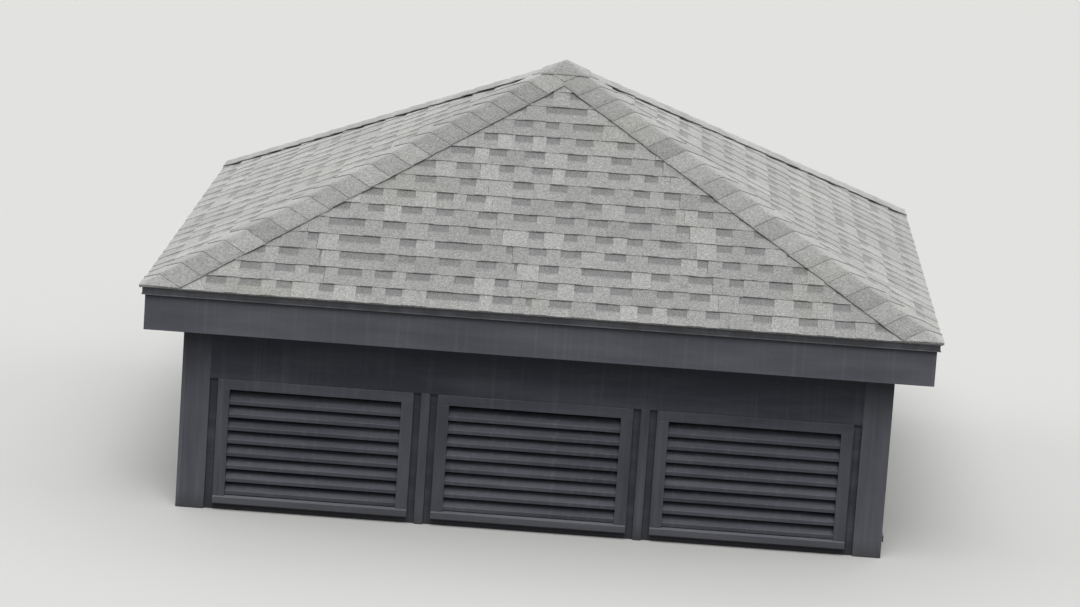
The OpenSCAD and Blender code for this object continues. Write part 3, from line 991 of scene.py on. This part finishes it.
def dressTrim(paint, panelPaint, rng):
    arris = trim["arris"]
    for side in sideNames:
        dressBoards(
            f"{side}_wall_panel", f"{side}_wall", panelPaint, 0, rng, trim["panelChalking"])
        # the frieze's low chalking is partly real shelter and partly painted shade from the eaves
        for board, chalking in (("frieze", trim["friezeChalkingAndShade"]), ("fascia", trim["chalking"])):
            node = f"{side}_{board}"
            dressBoards(f"{node}_board", node, paint, arris, rng, chalking)
    dressBoards(
        "vent_batten_boards", "vent_battens", paint, arris, rng, trim["battenChalking"])
    dressBoards(
        "soffit_boards", "soffits", paint, trim["soffitArris"], rng, trim["soffitChalking"])
    addCornerBoards(paint, rng)
    driveNails(paint, rng)
    print("walls and trim painted")


# Framing, deck and drip edges

framing = {
    "plateWidth": 89 * mm,
    "arris": 1.5 * mm,
    "sawn": ("peak_block", "hip_rafters", "rafters", "wall_studs", "vent_headers"),
}


# A ring of plates on top of each other, lapped at the corners, the laps changing from layer to layer
def addPlates(node, layers, material, rng):
    low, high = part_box(node)
    width, arris = framing["plateWidth"], framing["arris"]
    depth = (high.z - low.z) / layers
    bm = bmesh.new()
    for layer in range(layers):
        bottom, top = low.z + layer * depth, low.z + (layer + 1) * depth
        for k in range(4):
            lapped = (k + layer) % 2 == 0
            end = high.x if lapped else high.x - width
            addBoard(
                bm, (-end, low.y, bottom), (end, low.y + width, top), arris, rng, matrix=quarterTurn(k))
    finishPiece(f"{node}_timbers", bm, material, [node])


def dressFraming(spruce, plywood, rng):
    dressBoards("roof_deck_sheets", "roof_deck", plywood, 0, rng)
    for node in framing["sawn"]:
        dressBoards(f"{node}_timber", node, spruce, framing["arris"], rng)
    addPlates("sill_plates", 1, spruce, rng)
    addPlates("top_plates", 2, spruce, rng)
    print("framing and deck dressed")


def enamelDripEdges(enamel):
    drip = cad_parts["drip_edges"]
    drip.data.materials.clear()
    drip.data.materials.append(enamel)


# Camera, light and floor

studio = {
    "camera": (0.481, -22.701, 5.224),
    "aim": (-0.0555, 0, 0.8468),
    "roll": 3.9,                  # degrees: the photograph leans, so the eaves fall to the right
    "lens": 139.9,
    "clipEnd": 400,
    "skyStrength": 0.07,
    "floorHalf": 90,
}
# Each lamp: the way it comes from round the cupola, from 0 at the front over 90 at the right, its height
# over the floor, how wide it spreads, all in degrees, and its share of full light
lamps = {
    "overhead": (185, 72, 110, 0.40),
    "front": (-6, 60, 40, 0.38),
    "frontLow": (8, 38, 44, 0.28),
    "left": (-95, 18, 60, 0.22),
    "right": (95, 18, 60, 0.24),
    "behind": (178, 34, 60, 0.24),
}


def setCamera():
    data = bpy.data.cameras.new("camera")
    data.lens = studio["lens"]
    data.clip_end = studio["clipEnd"]
    camera = addObject("camera", data)
    place = Vector(studio["camera"])
    turn = (Vector(studio["aim"]) - place).to_track_quat("-Z", "Y").to_matrix().to_4x4()
    lean = Matrix.Rotation(math.radians(studio["roll"]), 4, "Z")
    camera.matrix_world = Matrix.Translation(place) @ turn @ lean
    bpy.context.scene.camera = camera


# One where a ray comes from the camera, a reflection or glass, which see the pale background
def seenDirectly(tree):
    path = addNode(tree, "ShaderNodeLightPath").outputs
    first = addNode(tree, "ShaderNodeMath", {
        0: path["Is Camera Ray"], 1: path["Is Glossy Ray"]}, operation="MAXIMUM")
    either = addNode(tree, "ShaderNodeMath", {
        0: first.outputs[0], 1: path["Is Transmission Ray"]}, operation="MAXIMUM")
    return either.outputs[0]


def lightStudio():
    world = bpy.data.worlds.new("studio")
    tree = emptyTree(world)
    dim = addNode(tree, "ShaderNodeBackground", {"Color": (1, 1, 1, 1), "Strength": studio["skyStrength"]})
    pale = addNode(tree, "ShaderNodeBackground", {"Color": colours["background"]})
    sky = addNode(tree, "ShaderNodeMixShader", {
        0: seenDirectly(tree), 1: dim.outputs[0], 2: pale.outputs[0]})
    addNode(tree, "ShaderNodeOutputWorld", {"Surface": sky.outputs[0]})
    bpy.context.scene.world = world
    for name, (bearing, height, spread, share) in lamps.items():
        data = bpy.data.lights.new(name, "SUN")
        data.angle = math.radians(spread)
        # A sun of strength pi gives a surface that faces it full light
        data.energy = share * math.pi
        lamp = addObject(name, data)
        turn = Matrix.Rotation(math.radians(bearing), 4, "Z")
        lamp.matrix_world = turn @ Matrix.Rotation(math.radians(90 - height), 4, "X")


def layFloor():
    bm = bmesh.new()
    bmesh.ops.create_grid(bm, x_segments=1, y_segments=1, size=studio["floorHalf"])
    mesh = bpy.data.meshes.new("floor")
    bm.to_mesh(mesh)
    bm.free()
    material = bpy.data.materials.new("matt pale floor")
    tree = emptyTree(material)
    bounce = addNode(tree, "ShaderNodeBsdfDiffuse", {"Color": colours["floorBounce"]})
    seen = addNode(tree, "ShaderNodeBsdfDiffuse", {"Color": colours["floorSeen"]})
    both = addNode(tree, "ShaderNodeMixShader", {
        0: seenDirectly(tree), 1: bounce.outputs[0], 2: seen.outputs[0]})
    addNode(tree, "ShaderNodeOutputMaterial", {"Surface": both.outputs[0]})
    mesh.materials.append(material)
    floor = addObject("floor", mesh)


bpy.context.scene.view_settings.view_transform = "Standard"
setCamera()
lightStudio()
layFloor()
print("studio ready")

rollFelt(asphaltFelt("asphalt-soaked roofing felt"))
layRoof(stoneGranules("granule-faced laminated shingle", "tabLight", "tabDark"))
capHips(
    stoneGranules("granule-faced cap shingle", "capLight", "capDark"), dullZinc("dull galvanised steel"))
hangVents(satinPaint("satin slate paint on louvres"))
boardRng = random.Random(trim["seed"])
dressTrim(satinPaint("satin slate paint on trim"), satinPaint("satin slate paint on panels"), boardRng)
dressFraming(
    planedSpruce("planed spruce", "earlyWood", "lateWood", ringGap=5 * mm, waver=0.03),
    planedSpruce("rotary-cut softwood plywood", "veneer", "veneerRing", ringGap=28 * mm, waver=0.2),
    boardRng,
)
enamelDripEdges(bakedEnamel("baked enamel on steel"))
print("drip edges enamelled")
